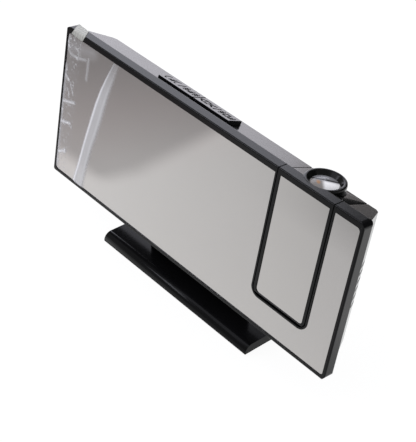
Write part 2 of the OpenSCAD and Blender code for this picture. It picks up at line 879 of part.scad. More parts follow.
module hinge_pins() {
    color([0.7, 0.7, 0.72]) lean() for (s = [-1, 1]) {
        len = pin_in + arm_gap + pocket_wall + boss_len;
        rod_x(arm_x + s * (arm_w / 2 - pin_in + len / 2) - len / 2, hinge_y, hinge_z, pin_r, len);
    }
}

module arm_screws() {
    color([0.35, 0.35, 0.36]) lean() for (s = [-1, 1]) {
        difference() {
            screw_y(arm_x + s * arm_screw_out, arm_screw_y, arm_screw_z, arm_head_r, 1.6, arm_screw_r,
                    arm_screw_y - web_back - 0.8);
            cross_slot_y(arm_x + s * arm_screw_out, arm_screw_y + 0.9, arm_screw_z, 1.3);
        }
    }
}

// Optics
module lens_barrel() {
    color([0.07, 0.07, 0.07]) lean() lens_axis() rotate_extrude()
        polygon([[barrel_seat, barrel_bottom], [barrel_r, barrel_bottom], [barrel_r, barrel_top],
                 [neck_r + neck_clear, barrel_top], [neck_r + neck_clear, thread_z], [barrel_bore, thread_z],
                 [barrel_bore, lcd_z], [condenser_r, lcd_z], [condenser_r, condenser_z],
                 [barrel_seat, condenser_z]]);
}

module projector_board() {
    color([0.05, 0.25, 0.12]) lean()
        translate([arm_x - led_board_w / 2, lens_y - led_board_d / 2, barrel_bottom - board_t])
            cube([led_board_w, led_board_d, board_t]);
}

module projector_led() {
    color([0.9, 0.3, 0.25]) lean() lens_axis() {
        translate([0, 0, barrel_bottom]) cylinder(r = led_r, h = led_h);
        intersection() {
            translate([0, 0, barrel_bottom + led_h]) sphere(r = led_r);
            translate([0, 0, barrel_bottom + led_h - 0.2]) cylinder(r = led_r + 0.6, h = led_r + over);
        }
    }
}

module condenser_lens() {
    color([0.9, 0.95, 1, 0.4]) lean() lens_axis() intersection() {
        translate([0, 0, condenser_z]) cylinder(r = condenser_r - fit / 2, h = condenser_dome_r);
        translate([0, 0, condenser_z + condenser_rise - condenser_dome_r]) sphere(r = condenser_dome_r);
    }
}

module projector_lcd() {
    color([0.5, 0.55, 0.5]) lean()
        translate([arm_x - lcd_w / 2, lens_y - lcd_d / 2, lcd_z]) cube([lcd_w, lcd_d, lcd_t]);
}

module objective_lens() {
    color([0.9, 0.95, 1, 0.4]) lean() lens_axis() intersection() {
        translate([0, 0, lens_seat + neck_clear]) cylinder(r = lens_r - neck_clear, h = lens_dome_r);
        translate([0, 0, lens_seat + lens_rise - lens_dome_r]) sphere(r = lens_dome_r);
    }
}

module focus_ring() {
    color([0.05, 0.05, 0.05]) lean() lens_axis() rotate_extrude()
        polygon([[ring_r - 1.7, ring_top - 0.25], [ring_r - 1.2, ring_top], [ring_r - 0.7, ring_top],
                 [ring_r - 0.2, ring_top - 0.3], [ring_r, ring_top - 0.9],
                 [ring_r, ring_bottom], [neck_r, ring_bottom], [neck_r, neck_end],
                 [lens_r - 0.6, neck_end], [lens_r - 0.6, lens_seat], [lens_r, lens_seat],
                 [lens_r, ring_top - cone_depth]]);
}

// Foot bar with the stem that plugs into the body
module foot_base() {
    color([0.03, 0.03, 0.035]) difference() {
        union() {
            along_x(-foot_w / 2, foot_w) foot_section();
            lean() translate([-stem_w / 2, stem_y0, stem_low]) cube([stem_w, stem_t, stem_top - stem_low]);
        }
        foot_pad_strips(pad_h - over, over + 0.4);
        for (i = [-2:1]) {
            translate([i * rib_bay + 1, 0, pad_h - over]) cube([rib_bay - 2, rib_bay_d, over + 2.2]);
        }
        for (s = [-1, 1]) {
            lean() rod_y(s * stem_screw_x, stem_y0 + 1.4, stem_screw_z, screw_r + fit / 2, stem_t);
        }
    }
}

module foot_section() {
    intersection() {
        union() {
            translate([-foot_d / 2 + foot_nose, pad_h]) square([foot_d - 2 * foot_nose, foot_t]);
            translate([-foot_d / 2, pad_h]) square([foot_d, foot_t - foot_nose]);
            for (s = [-1, 1]) {
                translate([s * (foot_d / 2 - foot_nose), pad_h + foot_t - foot_nose]) circle(r = foot_nose);
            }
        }
        translate([-foot_d, pad_h]) square([2 * foot_d, 2 * foot_t]);
    }
}

module foot_pad_strips(z0, h) {
    for (s = [-1, 1]) {
        translate([-foot_w / 2 + pad_in, s * (foot_d / 2 - pad_w - 0.5) - pad_w / 2, z0])
            cube([foot_w - 2 * pad_in, pad_w, h]);
    }
}

module foot_pads() {
    color([0.12, 0.12, 0.12]) foot_pad_strips(0, pad_h + 0.4);
}

module stem_screws() {
    color([0.35, 0.35, 0.36]) lean() for (s = [-1, 1]) {
        difference() {
            screw_y(s * stem_screw_x, body_d, stem_screw_z, stem_head_r, 1.3, screw_r, wall + stem_t - 1.7);
            cross_slot_y(s * stem_screw_x, body_d + 0.6, stem_screw_z, 1.5);
        }
    }
}

front_frame();
main_mirror();
protective_film();
film_pull_tab();
rear_housing();
digit_mask();
led_digits();
main_board();
board_screws();
key_switches();
power_socket();
sounder();
backup_cell();
cell_contact();
cell_cover();
housing_screws();
snooze_key();
light_key();
set_key();
up_key();
down_key();
alarm_key();
time_key();
arm_front();
arm_rear();
arm_mirror();
hinge_pins();
arm_screws();
lens_barrel();
projector_board();
projector_led();
condenser_lens();
projector_lcd();
objective_lens();
focus_ring();
foot_base();
foot_pads();
stem_screws();
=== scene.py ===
"""Dresses a mirror-faced desk clock with a fold-out projector arm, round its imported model."""

import logging
import math
from dataclasses import dataclass
from enum import Enum
from typing import Any, ClassVar, Iterable, Sequence

import bmesh
import bpy
from mathutils import Matrix, Vector
from mathutils.geometry import delaunay_2d_cdt


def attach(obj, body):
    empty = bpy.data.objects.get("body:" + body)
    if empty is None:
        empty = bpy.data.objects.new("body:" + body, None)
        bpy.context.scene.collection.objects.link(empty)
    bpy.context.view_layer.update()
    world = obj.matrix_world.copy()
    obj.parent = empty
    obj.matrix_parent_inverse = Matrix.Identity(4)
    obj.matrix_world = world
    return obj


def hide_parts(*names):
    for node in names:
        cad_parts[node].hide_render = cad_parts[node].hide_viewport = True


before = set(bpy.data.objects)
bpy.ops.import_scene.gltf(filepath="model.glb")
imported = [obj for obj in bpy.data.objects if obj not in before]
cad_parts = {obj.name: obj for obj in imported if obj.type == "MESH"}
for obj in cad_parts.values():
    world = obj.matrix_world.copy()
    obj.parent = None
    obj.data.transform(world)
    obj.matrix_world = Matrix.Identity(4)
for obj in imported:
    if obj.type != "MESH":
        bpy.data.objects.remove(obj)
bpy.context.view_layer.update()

LOG = logging.getLogger("clock")
MM = 0.001

WELD_MM = 0.002
BEVEL_STEPS = 2
BEVEL_FROM_DEG = 40.0

Triple = tuple[float, float, float]
Colour = Place = Triple
Point = tuple[float, float]
Outlines = list[list[Point]]


class Value:
    """A shader socket that can stand in a Python expression of plain numbers."""

    def __init__(self, graph: "Graph", socket: bpy.types.NodeSocket | None) -> None:
        """Keeps the socket and the graph it belongs to."""
        self.graph = graph
        self.socket = socket

    def _math(self, operation: str, first: Any, second: Any) -> "Value":
        """Adds one Math node on two values or numbers."""
        return self.graph.add("ShaderNodeMath", {"operation": operation}, {0: first, 1: second})

    def __add__(self, other: Any) -> "Value":
        """Sum."""
        return self._math("ADD", self, other)

    __radd__ = __add__

    def __sub__(self, other: Any) -> "Value":
        """Difference."""
        return self._math("SUBTRACT", self, other)

    def __rsub__(self, other: Any) -> "Value":
        """Difference from a number."""
        return self._math("SUBTRACT", other, self)

    def __mul__(self, other: Any) -> "Value":
        """Product."""
        return self._math("MULTIPLY", self, other)

    __rmul__ = __mul__

    def at_most(self, other: Any) -> "Value":
        """The smaller of two values."""
        return self._math("MINIMUM", self, other)

    def at_least(self, other: Any) -> "Value":
        """The larger of two values."""
        return self._math("MAXIMUM", self, other)

    def ramp(self, start: float, rate: float, most: float) -> "Value":
        """Rises from 0 at a start, at a steady rate, and stays at the most."""
        return ((self - start) * rate).at_least(0.0).at_most(most)

    def step(self, low: float, high: float) -> "Value":
        """Rises smoothly from 0 at the low value to 1 at the high one."""
        inputs = {"Value": self, 1: low, 2: high}
        return self.graph.add("ShaderNodeMapRange", {"interpolation_type": "SMOOTHSTEP"}, inputs)


class Graph:
    """A node tree that is filled by expressions."""

    def __init__(self, tree: bpy.types.NodeTree) -> None:
        """Empties the tree and keeps it."""
        self.tree = tree
        tree.nodes.clear()

    def add(self, kind: str, settings: dict[str, Any], inputs: dict[Any, Any], output: Any = 0) -> Value:
        """Adds a node of any type.

        Args:
            kind: Blender's name of the node type.
            settings: The node's properties, set before its sockets.
            inputs: Sockets by name or number, with a value or a link each.
            output: Name or number of the output that is handed on.

        Returns:
            The chosen output, or an empty value for a node that has none.
        """
        node = self.tree.nodes.new(kind)
        for key, setting in settings.items():
            setattr(node, key, setting)
        for key, given in inputs.items():
            if isinstance(given, Value):
                self.tree.links.new(given.socket, node.inputs[key])
            else:
                node.inputs[key].default_value = given
        return Value(self, node.outputs[output] if node.outputs else None)

    def place(self, stretch: Sequence[float] = (1.0, 1.0, 1.0)) -> Value:
        """The point on the piece, in metres, drawn out by a factor along X, Y and Z."""
        point = self.add("ShaderNodeTexCoord", {}, {}, "Object")
        return self.add("ShaderNodeVectorMath", {"operation": "MULTIPLY"}, {0: point, 1: tuple(stretch)})

    def along(self, axis: Sequence[float], start: Sequence[float] = (0.0, 0.0, 0.0)) -> Value:
        """How far the point on the piece lies along an axis.

        Args:
            axis: Direction of the axis.
            start: Where it begins, in millimetres.

        Returns:
            The distance in millimetres.
        """
        point = self.add("ShaderNodeTexCoord", {}, {}, "Object")
        first = tuple(s * MM for s in start)
        way = self.add("ShaderNodeVectorMath", {"operation": "SUBTRACT"}, {0: point, 1: first})
        scaled = tuple(a / MM for a in axis)
        return self.add("ShaderNodeVectorMath", {"operation": "DOT_PRODUCT"}, {0: way, 1: scaled}, "Value")

    def noise(self, where: Value, grain_mm: float, detail: float = 2.0) -> Value:
        """Noise from 0 to 1 in clouds of a size, with a number of finer layers."""
        inputs = {"Vector": where, "Scale": 1.0 / (grain_mm * MM), "Detail": detail}
        return self.add("ShaderNodeTexNoise", {}, inputs)

    def blend(self, share: Any, low: Any, high: Any) -> Value:
        """Mixes two colours or links: a share of 0 gives the low one, 1 the high one."""
        ends = [c if isinstance(c, Value) else (*c, 1.0) for c in (low, high)]
        return self.add("ShaderNodeMix", {"data_type": "RGBA"}, {0: share, 6: ends[0], 7: ends[1]}, 2)

    def bump(self, height: Value, depth_mm: float) -> Value:
        """A surface normal, where a height of 1 stands out by the depth."""
        inputs = {"Height": height, "Distance": depth_mm * MM, "Strength": 1.0}
        return self.add("ShaderNodeBump", {}, inputs)

    def ray(self, kind: str) -> Value:
        """1 for rays of one kind, such as Camera or Glossy, and 0 for others."""
        return self.add("ShaderNodeLightPath", {}, {}, f"Is {kind} Ray")

    def surface(self, inputs: dict[Any, Any]) -> None:
        """Ends the tree in a Principled shader with the given sockets."""
        self.finish(self.add("ShaderNodeBsdfPrincipled", {}, inputs))

    def finish(self, shader: Value, kind: str = "ShaderNodeOutputMaterial") -> None:
        """Ends the tree in an output node."""
        self.add(kind, {}, {"Surface": shader})


@dataclass(frozen=True)
class Finish:
    """A surface finish; each kind draws its own node tree.

    A gloss gives the even share of the roughness and what each noise adds to it.
    """

    name: str
    made: ClassVar[dict[str, bpy.types.Material]] = {}

    def draw(self, graph: Graph) -> None:
        """Fills the material's node tree."""
        raise NotImplementedError

    def material(self) -> bpy.types.Material:
        """The finish as a material, made on first use.

        Returns:
            The material.
        """
        if self.name not in self.made:
            material = bpy.data.materials.new(self.name)
            material.use_nodes = True
            self.draw(Graph(material.node_tree))
            self.made[self.name] = material
        return self.made[self.name]


def shaded(colour: Colour, factor: float) -> Colour:
    """A colour made darker or lighter by a factor."""
    return tuple(c * factor for c in colour)


@dataclass(frozen=True)
class MouldedPlastic(Finish):
    """Moulded plastic with a fine spark-eroded grain and faint flow clouds."""

    colour: Colour
    roughness: float
    shine: float
    grain_mm: float
    grain_depth_mm: float
    cloud_mm: float = 22.0
    dark: float = 0.8
    light: float = 1.25
    gloss: Triple = (0.88, 0.16, 0.08)

    def draw(self, graph: Graph) -> None:
        """Clouds the colour and gloss, and raises the grain.

        Args:
            graph: Tree to fill.
        """
        where = graph.place()
        cloud = graph.noise(where, self.cloud_mm, detail=3.0)
        grain = graph.noise(where, self.grain_mm)
        even, by_cloud, by_grain = self.gloss
        graph.surface({
            "Base Color": graph.blend(cloud, shaded(self.colour, self.dark), shaded(self.colour, self.light)),
            "Roughness": self.roughness * (even + by_cloud * cloud + by_grain * grain),
            "Specular IOR Level": self.shine,
            "Normal": graph.bump(grain, self.grain_depth_mm),
        })


@dataclass(frozen=True)
class HalfMirror(Finish):
    """Half-silvered acrylic with a trace of polishing lines."""

    colour: Colour
    roughness: float
    line_mm: float = 0.5
    line_stretch: Place = (1.0, 1.0, 0.02)
    cloud_mm: float = 30.0
    dark: float = 0.97
    gloss: Triple = (0.7, 0.4, 0.3)

    def draw(self, graph: Graph) -> None:
        """Draws a cloudy silver layer with faint lines up the panel.

        Args:
            graph: Tree to fill.
        """
        lines = graph.noise(graph.place(self.line_stretch), self.line_mm)
        cloud = graph.noise(graph.place(), self.cloud_mm)
        even, by_line, by_cloud = self.gloss
        graph.surface({
            "Base Color": graph.blend(cloud, shaded(self.colour, self.dark), self.colour),
            "Metallic": 1.0,
            "Roughness": self.roughness * (even + by_line * lines + by_cloud * cloud),
        })


@dataclass(frozen=True)
class ClearFilm(Finish):
    """Clear transit film that turns milky where it has lifted off; the milkiness is partly real and partly
    painted sheen.
    """

    colour: Colour
    haze: float
    milk_and_sheen: float
    bubble: float
    loose: float
    dust_mm: float = 1.6
    dust: Point = (0.6, 0.8)
    bubble_mm: float = 1.7
    bubble_rim: Point = (0.54, 0.68)
    bubble_end: Point = (82.0, 87.5)
    loose_end: Point = (80.0, 92.0)
    gloss: Point = (0.16, 0.1)

    def draw(self, graph: Graph) -> None:
        """Shows the film by how far the sheet stands off the mirror, as milkiness that is partly real and
        partly painted sheen.

        Args:
            graph: Tree to fill.
        """
        lift = graph.add("ShaderNodeAttribute", {"attribute_name": TransitFilm.LIFT}, {}, "Fac")
        dust = graph.noise(graph.place(), self.dust_mm, detail=3.0)
        out = graph.along((-1.0, 0.0, 0.0))
        spots = graph.noise(graph.place(), self.bubble_mm, detail=3.0).step(*self.bubble_rim)
        bubbles = spots * out.step(*self.bubble_end)
        haze = self.haze * (self.dust[0] + self.dust[1] * dust)
        clear = haze + self.bubble * bubbles + self.loose * out.step(*self.loose_end)
        graph.surface({
            "Base Color": (*self.colour, 1.0),
            "Roughness": self.gloss[0] + self.gloss[1] * dust,
            "Alpha": (clear + self.milk_and_sheen * lift).at_most(1.0),
        })


@dataclass(frozen=True)
class WovenTape(Finish):
    """Off-white tape with a fine thread pattern."""

    colour: Colour
    thread_mm: float = 0.9
    wave: float = 0.16
    wobble: float = 0.4
    rise_mm: float = 0.03
    stain_mm: float = 3.0
    dark: float = 0.55
    weave_share: float = 0.75
    stain_share: float = 0.4
    gloss: Point = (0.5, 0.2)

    def draw(self, graph: Graph) -> None:
        """Crosses two sets of fine waves.

        Args:
            graph: Tree to fill.
        """
        scale = self.wave / (self.thread_mm * MM)
        inputs = {"Vector": graph.place(), "Scale": scale, "Distortion": self.wobble}
        along = graph.add("ShaderNodeTexWave", {"bands_direction": "X"}, inputs, "Fac")
        across = graph.add("ShaderNodeTexWave", {"bands_direction": "Y"}, inputs, "Fac")
        weave = 0.5 * along + 0.5 * across
        stain = graph.noise(graph.place(), self.stain_mm, detail=3.0)
        share = (self.weave_share * weave + self.stain_share * stain).at_most(1.0)
        graph.surface({
            "Base Color": graph.blend(share, shaded(self.colour, self.dark), self.colour),
            "Roughness": self.gloss[0] + self.gloss[1] * weave,
            "Normal": graph.bump(weave, self.rise_mm),
        })


@dataclass(frozen=True)
class PlatedMetal(Finish):
    """Plated or blackened metal with fine turning marks."""

    colour: Colour
    roughness: float
    cloud_mm: float = 2.5
    dark: float = 0.8
    gloss: Point = (0.7, 0.6)
    mark_mm: float = 0.2
    mark_depth_mm: float = 0.004
    mark_stretch: Place = (1.0, 0.05, 1.0)

    def draw(self, graph: Graph) -> None:
        """Clouds the plating and varies its gloss.

        Args:
            graph: Tree to fill.
        """
        cloud = graph.noise(graph.place(), self.cloud_mm, detail=4.0)
        marks = graph.noise(graph.place(self.mark_stretch), self.mark_mm)
        graph.surface({
            "Base Color": graph.blend(cloud, shaded(self.colour, self.dark), self.colour),
            "Metallic": 1.0,
            "Roughness": self.roughness * (self.gloss[0] + self.gloss[1] * cloud),
            "Normal": graph.bump(marks, self.mark_depth_mm),
        })


@dataclass(frozen=True)
class ClearGlass(Finish):
    """Clear moulded optics or display glass."""

    tint: Colour
    roughness: float
    index: float = 1.49
    cloud_mm: float = 1.5
    dark: float = 0.96
    least: float = 0.5

    def draw(self, graph: Graph) -> None:
        """Draws clear glass with a trace of moulding haze.

        Args:
            graph: Tree to fill.
        """
        cloud = graph.noise(graph.place(), self.cloud_mm, detail=3.0)
        graph.surface({
            "Base Color": graph.blend(cloud, shaded(self.tint, self.dark), self.tint),
            "Roughness": self.roughness * (self.least + cloud),
            "IOR": self.index,
            "Transmission Weight": 1.0,
        })


@dataclass(frozen=True)
class PaintedReflectionLens(Finish):
    """Coated front lens with painted reflections and a painted view through it: the pale cell, the dark slit
    and a warm glint deep below it, painted into its colour with a faint painted glow.
    """

    middle: Place
    line: Place = (0.666, 0.742, 0.08)
    across: Place = (-0.356, 0.51, 0.81)
    reach: float = 4.0
    # Painted reflection bands: place across the lens and colour of each.
    bands: tuple[tuple[float, Colour], ...] = (
        (0.0, (0.55, 0.55, 0.57)), (0.48, (0.8, 0.8, 0.82)), (0.55, (0.6, 0.6, 0.62)),
        (0.595, (0.14, 0.14, 0.15)), (0.62, (0.004, 0.004, 0.005)), (0.64, (0.004, 0.004, 0.005)),
        (0.675, (0.15, 0.15, 0.16)), (1.0, (0.19, 0.19, 0.205)),
    )
    slit_start: Point = (0.5, 0.9)
    shade: Colour = (0.12, 0.105, 0.095)
    shade_share: float = 0.85
    shade_end: Point = (-1.8, 0.2)
    glint: Colour = (0.34, 0.19, 0.1)
    glint_share: float = 0.8
    glint_at: Point = (-2.8, -0.3)
    glint_rim: Point = (0.1, 1.1)

    def draw(self, graph: Graph) -> None:
        """Paints bands of reflection across the lens and its slit, with painted warm shade to the left in
        front of it and a painted warm glint.

        Args:
            graph: Tree to fill.
        """
        along = graph.along(self.line, self.middle)
        over = graph.along(self.across, self.middle)
        # Painted reflection bands, light and dark, across the lens.
        bands = graph.add("ShaderNodeValToRGB", {}, {0: 0.5 + 0.5 / self.reach * over})
        stops = bands.socket.node.color_ramp.elements
        while len(stops) < len(self.bands):
            stops.new(1.0)
        for stop, (place, colour) in zip(stops, self.bands):
            stop.position = place
            stop.color = (*colour, 1.0)
        below = 1.0 - over.step(*self.slit_start)
        share = self.shade_share * below * (1.0 - along.step(*self.shade_end))
        dimmed = graph.blend(share, bands, self.shade)
        # Painted warm glint near the slit.
        aside, ahead = along - self.glint_at[0], over - self.glint_at[1]
        near = aside * aside + ahead * ahead
        seen = graph.blend(self.glint_share * (1.0 - near.step(*self.glint_rim)), dimmed, self.glint)
        graph.surface({
            "Base Color": seen,
            "Roughness": 0.02,
            "IOR": 1.49,
            "Specular IOR Level": 0.12,
            "Transmission Weight": 0.06,
            # Painted glow: the painted colour also shines faintly, though no lamp is inside the lens.
            "Emission Color": seen,
            "Emission Strength": 0.3,
        })


@dataclass(frozen=True)
class BoardLaminate(Finish):
    """Solder-masked circuit board with copper runs showing through."""

    mask: Colour
    run: Colour
    maze: ClassVar[dict[str, float]] = {
        "Scale": 260.0, "Brick Width": 0.9, "Row Height": 0.3, "Mortar Size": 0.03,
    }
    maze_offset: float = 0.37
    run_rise_mm: float = 0.02
    run_share: Point = (0.4, 0.6)
    cloud_mm: float = 6.0
    gloss: Point = (0.3, 0.2)

    def draw(self, graph: Graph) -> None:
        """Lays a maze of lighter runs under the mask.

        Args:
            graph: Tree to fill.
        """
        inputs = {"Vector": graph.place(), **self.maze}
        runs = graph.add("ShaderNodeTexBrick", {"offset": self.maze_offset}, inputs, "Fac")
        cloud = graph.noise(graph.place(), self.cloud_mm, detail=3.0)
        share = runs * (self.run_share[0] + self.run_share[1] * cloud)
        graph.surface({
            "Base Color": graph.blend(share, self.mask, self.run),
            "Roughness": self.gloss[0] + self.gloss[1] * cloud,
            "Normal": graph.bump(runs, self.run_rise_mm),
        })


class Palette(Enum):
    """The finishes of the clock."""

    BLACK_FRAME = MouldedPlastic("black_frame", (0.004, 0.004, 0.0045), 0.22, 0.18, 0.5, 0.002)
    SATIN_BLACK = MouldedPlastic("satin_black", (0.006, 0.006, 0.0065), 0.2, 0.19, 0.45, 0.003)
    GLOSS_BLACK = MouldedPlastic("gloss_black", (0.0055, 0.0055, 0.006), 0.14, 0.1, 0.8, 0.001)
    HALF_MIRROR = HalfMirror("half_mirror", (0.53, 0.515, 0.503), 0.028)
    CLEAR_FILM = ClearFilm("clear_film", (0.95, 0.95, 0.97), 0.025, 1.0, 0.38, 0.05)
    TAB_TAPE = WovenTape("tab_tape", (0.63, 0.63, 0.585))
    KEY_PLASTIC = MouldedPlastic("key_plastic", (0.005, 0.005, 0.0055), 0.2, 0.19, 0.4, 0.003)
    RING_BLACK = MouldedPlastic("ring_black", (0.003, 0.003, 0.003), 0.2, 0.2, 0.4, 0.002)
    MASK_PLASTIC = MouldedPlastic("mask_plastic", (0.012, 0.012, 0.012), 0.6, 0.3, 0.3, 0.01)
    DIFFUSER = MouldedPlastic("diffuser", (0.78, 0.78, 0.75), 0.45, 0.4, 0.5, 0.01)
    CIRCUIT_BOARD = BoardLaminate("circuit_board", (0.012, 0.09, 0.035), (0.05, 0.22, 0.09))
    ZINC_STEEL = PlatedMetal("zinc_steel", (0.62, 0.62, 0.64), 0.32)
    BLACK_SCREW = PlatedMetal("black_screw", (0.05, 0.05, 0.052), 0.38)
    LENS_GLASS = ClearGlass("lens_glass", (0.97, 0.98, 1.0), 0.01)
    FRONT_LENS = PaintedReflectionLens("front_lens", (63.4, -3.5, 94.75))
    LCD_GLASS = ClearGlass("lcd_glass", (0.55, 0.62, 0.55), 0.05)
    PAD_RUBBER = MouldedPlastic("pad_rubber", (0.02, 0.02, 0.02), 0.75, 0.25, 0.3, 0.02)
    LEGEND_INK = MouldedPlastic("legend_ink", (0.012, 0.012, 0.013), 0.75, 0.03, 0.15, 0.003)

    def on(self, piece: bpy.types.Object) -> None:
        """Gives a piece this finish all over.

        Args:
            piece: The mesh piece.
        """
        slots = piece.data.materials
        count = max(len(slots), 1)
        slots.clear()
        for _ in range(count):
            slots.append(self.value.material())


@dataclass(frozen=True)
class LeaningBody:
    """Turns millimetres of the upright body into metres of the leaning clock."""

    lean_deg: float = 5.45
    edge_y: float = -22.8
    edge_z: float = 18.5
    frame_depth: float = 5.8
    slope_start: float = 78.1
    slope_fall: float = 5.0
    slope_run: float = 16.6

    def place(self) -> Matrix:
        """From the upright body to the clock."""
        shift = Matrix.Translation((0.0, self.edge_y * MM, self.edge_z * MM))
        return shift @ Matrix.Rotation(-math.radians(self.lean_deg), 4, "X") @ Matrix.Scale(MM, 4)

    def slope(self) -> Matrix:
        """From the housing's sloping top to the clock: y down the slope, z out of it.

        Returns:
            The matrix.
        """
        angle = -math.atan(self.slope_fall / self.slope_run)
        start = Matrix.Translation((0.0, self.frame_depth, self.slope_start))
        return self.place() @ start @ Matrix.Rotation(angle, 4, "X")


BODY = LeaningBody()
Finishes = dict[str, Palette]
Edges = dict[str, float]


def make_piece(name: str, points: Iterable[Sequence[float]], faces: Iterable[Sequence[int]],
               place: Matrix) -> bpy.types.Object:
    """Makes a mesh piece from points in a local frame.

    Args:
        name: Name of the piece.
        points: Corners in the local frame.
        faces: Corner numbers of each face.
        place: From the local frame to the clock.

    Returns:
        The new object, at the origin, with its place in its mesh.
    """
    mesh = bpy.data.meshes.new(name)
    mesh.from_pydata([place @ Vector(p) for p in points], [], [tuple(f) for f in faces])
    mesh.validate()
    piece = bpy.data.objects.new(name, mesh)
    bpy.context.scene.collection.objects.link(piece)
    return piece


def soften(node: str, width_mm: float) -> None:
    """Breaks the sharp edges of a CAD node with a small bevel.

    Args:
        node: Name of the node.
        width_mm: Width of the bevel.
    """
    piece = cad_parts[node]
    weld = piece.modifiers.new("weld", "WELD")
    weld.merge_threshold = WELD_MM * MM
    bevel = piece.modifiers.new("broken_edge", "BEVEL")
    bevel.width = width_mm * MM
    bevel.segments = BEVEL_STEPS
    bevel.limit_method = "ANGLE"
    bevel.angle_limit = math.radians(BEVEL_FROM_DEG)
    bevel.miter_outer = "MITER_ARC"
    bevel.harden_normals = True


@dataclass
class Assembly:
    """Some CAD nodes that get their finishes together."""

    finishes: ClassVar[Finishes] = {}
    edges: ClassVar[Edges] = {}

    def dress(self) -> None:
        """Gives each CAD node its finish and breaks its sharp edges."""
        for node, finish in self.finishes.items():
            finish.on(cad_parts[node])
            LOG.info("%s: %s", node, finish.value.name)
        for node, width in self.edges.items():
            soften(node, width)

    def build(self) -> None:
        """Makes the pieces that stand for or ride on the CAD nodes."""


@dataclass
class Case(Assembly):
    """Front frame, mirror and rear housing with its screws."""

    finishes: ClassVar[Finishes] = {
        "front_frame": Palette.BLACK_FRAME,
        "main_mirror": Palette.HALF_MIRROR,
        "rear_housing": Palette.SATIN_BLACK,
        "housing_screws": Palette.BLACK_SCREW,
        "power_socket": Palette.ZINC_STEEL,
        "cell_cover": Palette.SATIN_BLACK,
        "backup_cell": Palette.ZINC_STEEL,
        "cell_contact": Palette.ZINC_STEEL,
    }
    edges: ClassVar[Edges] = {"rear_housing": 0.4, "cell_cover": 0.25}


@dataclass
class Display(Assembly):
    """Digits and board behind the mirror."""

    finishes: ClassVar[Finishes] = {
        "digit_mask": Palette.MASK_PLASTIC,
        "led_digits": Palette.DIFFUSER,
        "main_board": Palette.CIRCUIT_BOARD,
        "board_screws": Palette.ZINC_STEEL,
        "key_switches": Palette.MASK_PLASTIC,
        "sounder": Palette.MASK_PLASTIC,
    }


@dataclass(frozen=True)
class Crease:
    """One crease or, with no height, one hazy patch of the film: a line on the mirror, in millimetres."""

    line: tuple[Point, ...]
    half_width: float
    height: float
    # Milkiness of the crease, partly real and partly painted sheen.
    milk_and_sheen: float

    def share(self, x: float, z: float) -> float:
        """How much of the crease reaches a point: 1 on its line, 0 beyond its width."""
        nearest = min(_distance((x, z), a, b) for a, b in zip(self.line, self.line[1:]))
        return max(0.0, 1.0 - nearest / self.half_width)


def _distance(point: Point, start: Point, end: Point) -> float:
    """Distance of a point from a straight line piece.

    Args:
        point: The point.
        start: First end of the line.
        end: Second end of the line.

    Returns:
        The least distance.
    """
    dx, dz = end[0] - start[0], end[1] - start[1]
    along = ((point[0] - start[0]) * dx + (point[1] - start[1]) * dz) / (dx * dx + dz * dz)
    along = min(1.0, max(0.0, along))
    return math.hypot(point[0] - start[0] - along * dx, point[1] - start[1] - along * dz)


def _at_height(line: Sequence[Point], z: float) -> float:
    """Where a falling line stands at a height.

    Args:
        line: Points from the top down.
        z: Height.

    Returns:
        The place along the mirror.
    """
    for (x0, z0), (x1, z1) in zip(line, line[1:]):
        if z >= z1:
            return x0 + (x1 - x0) * (z - z0) / (z1 - z0)
    return line[-1][0]


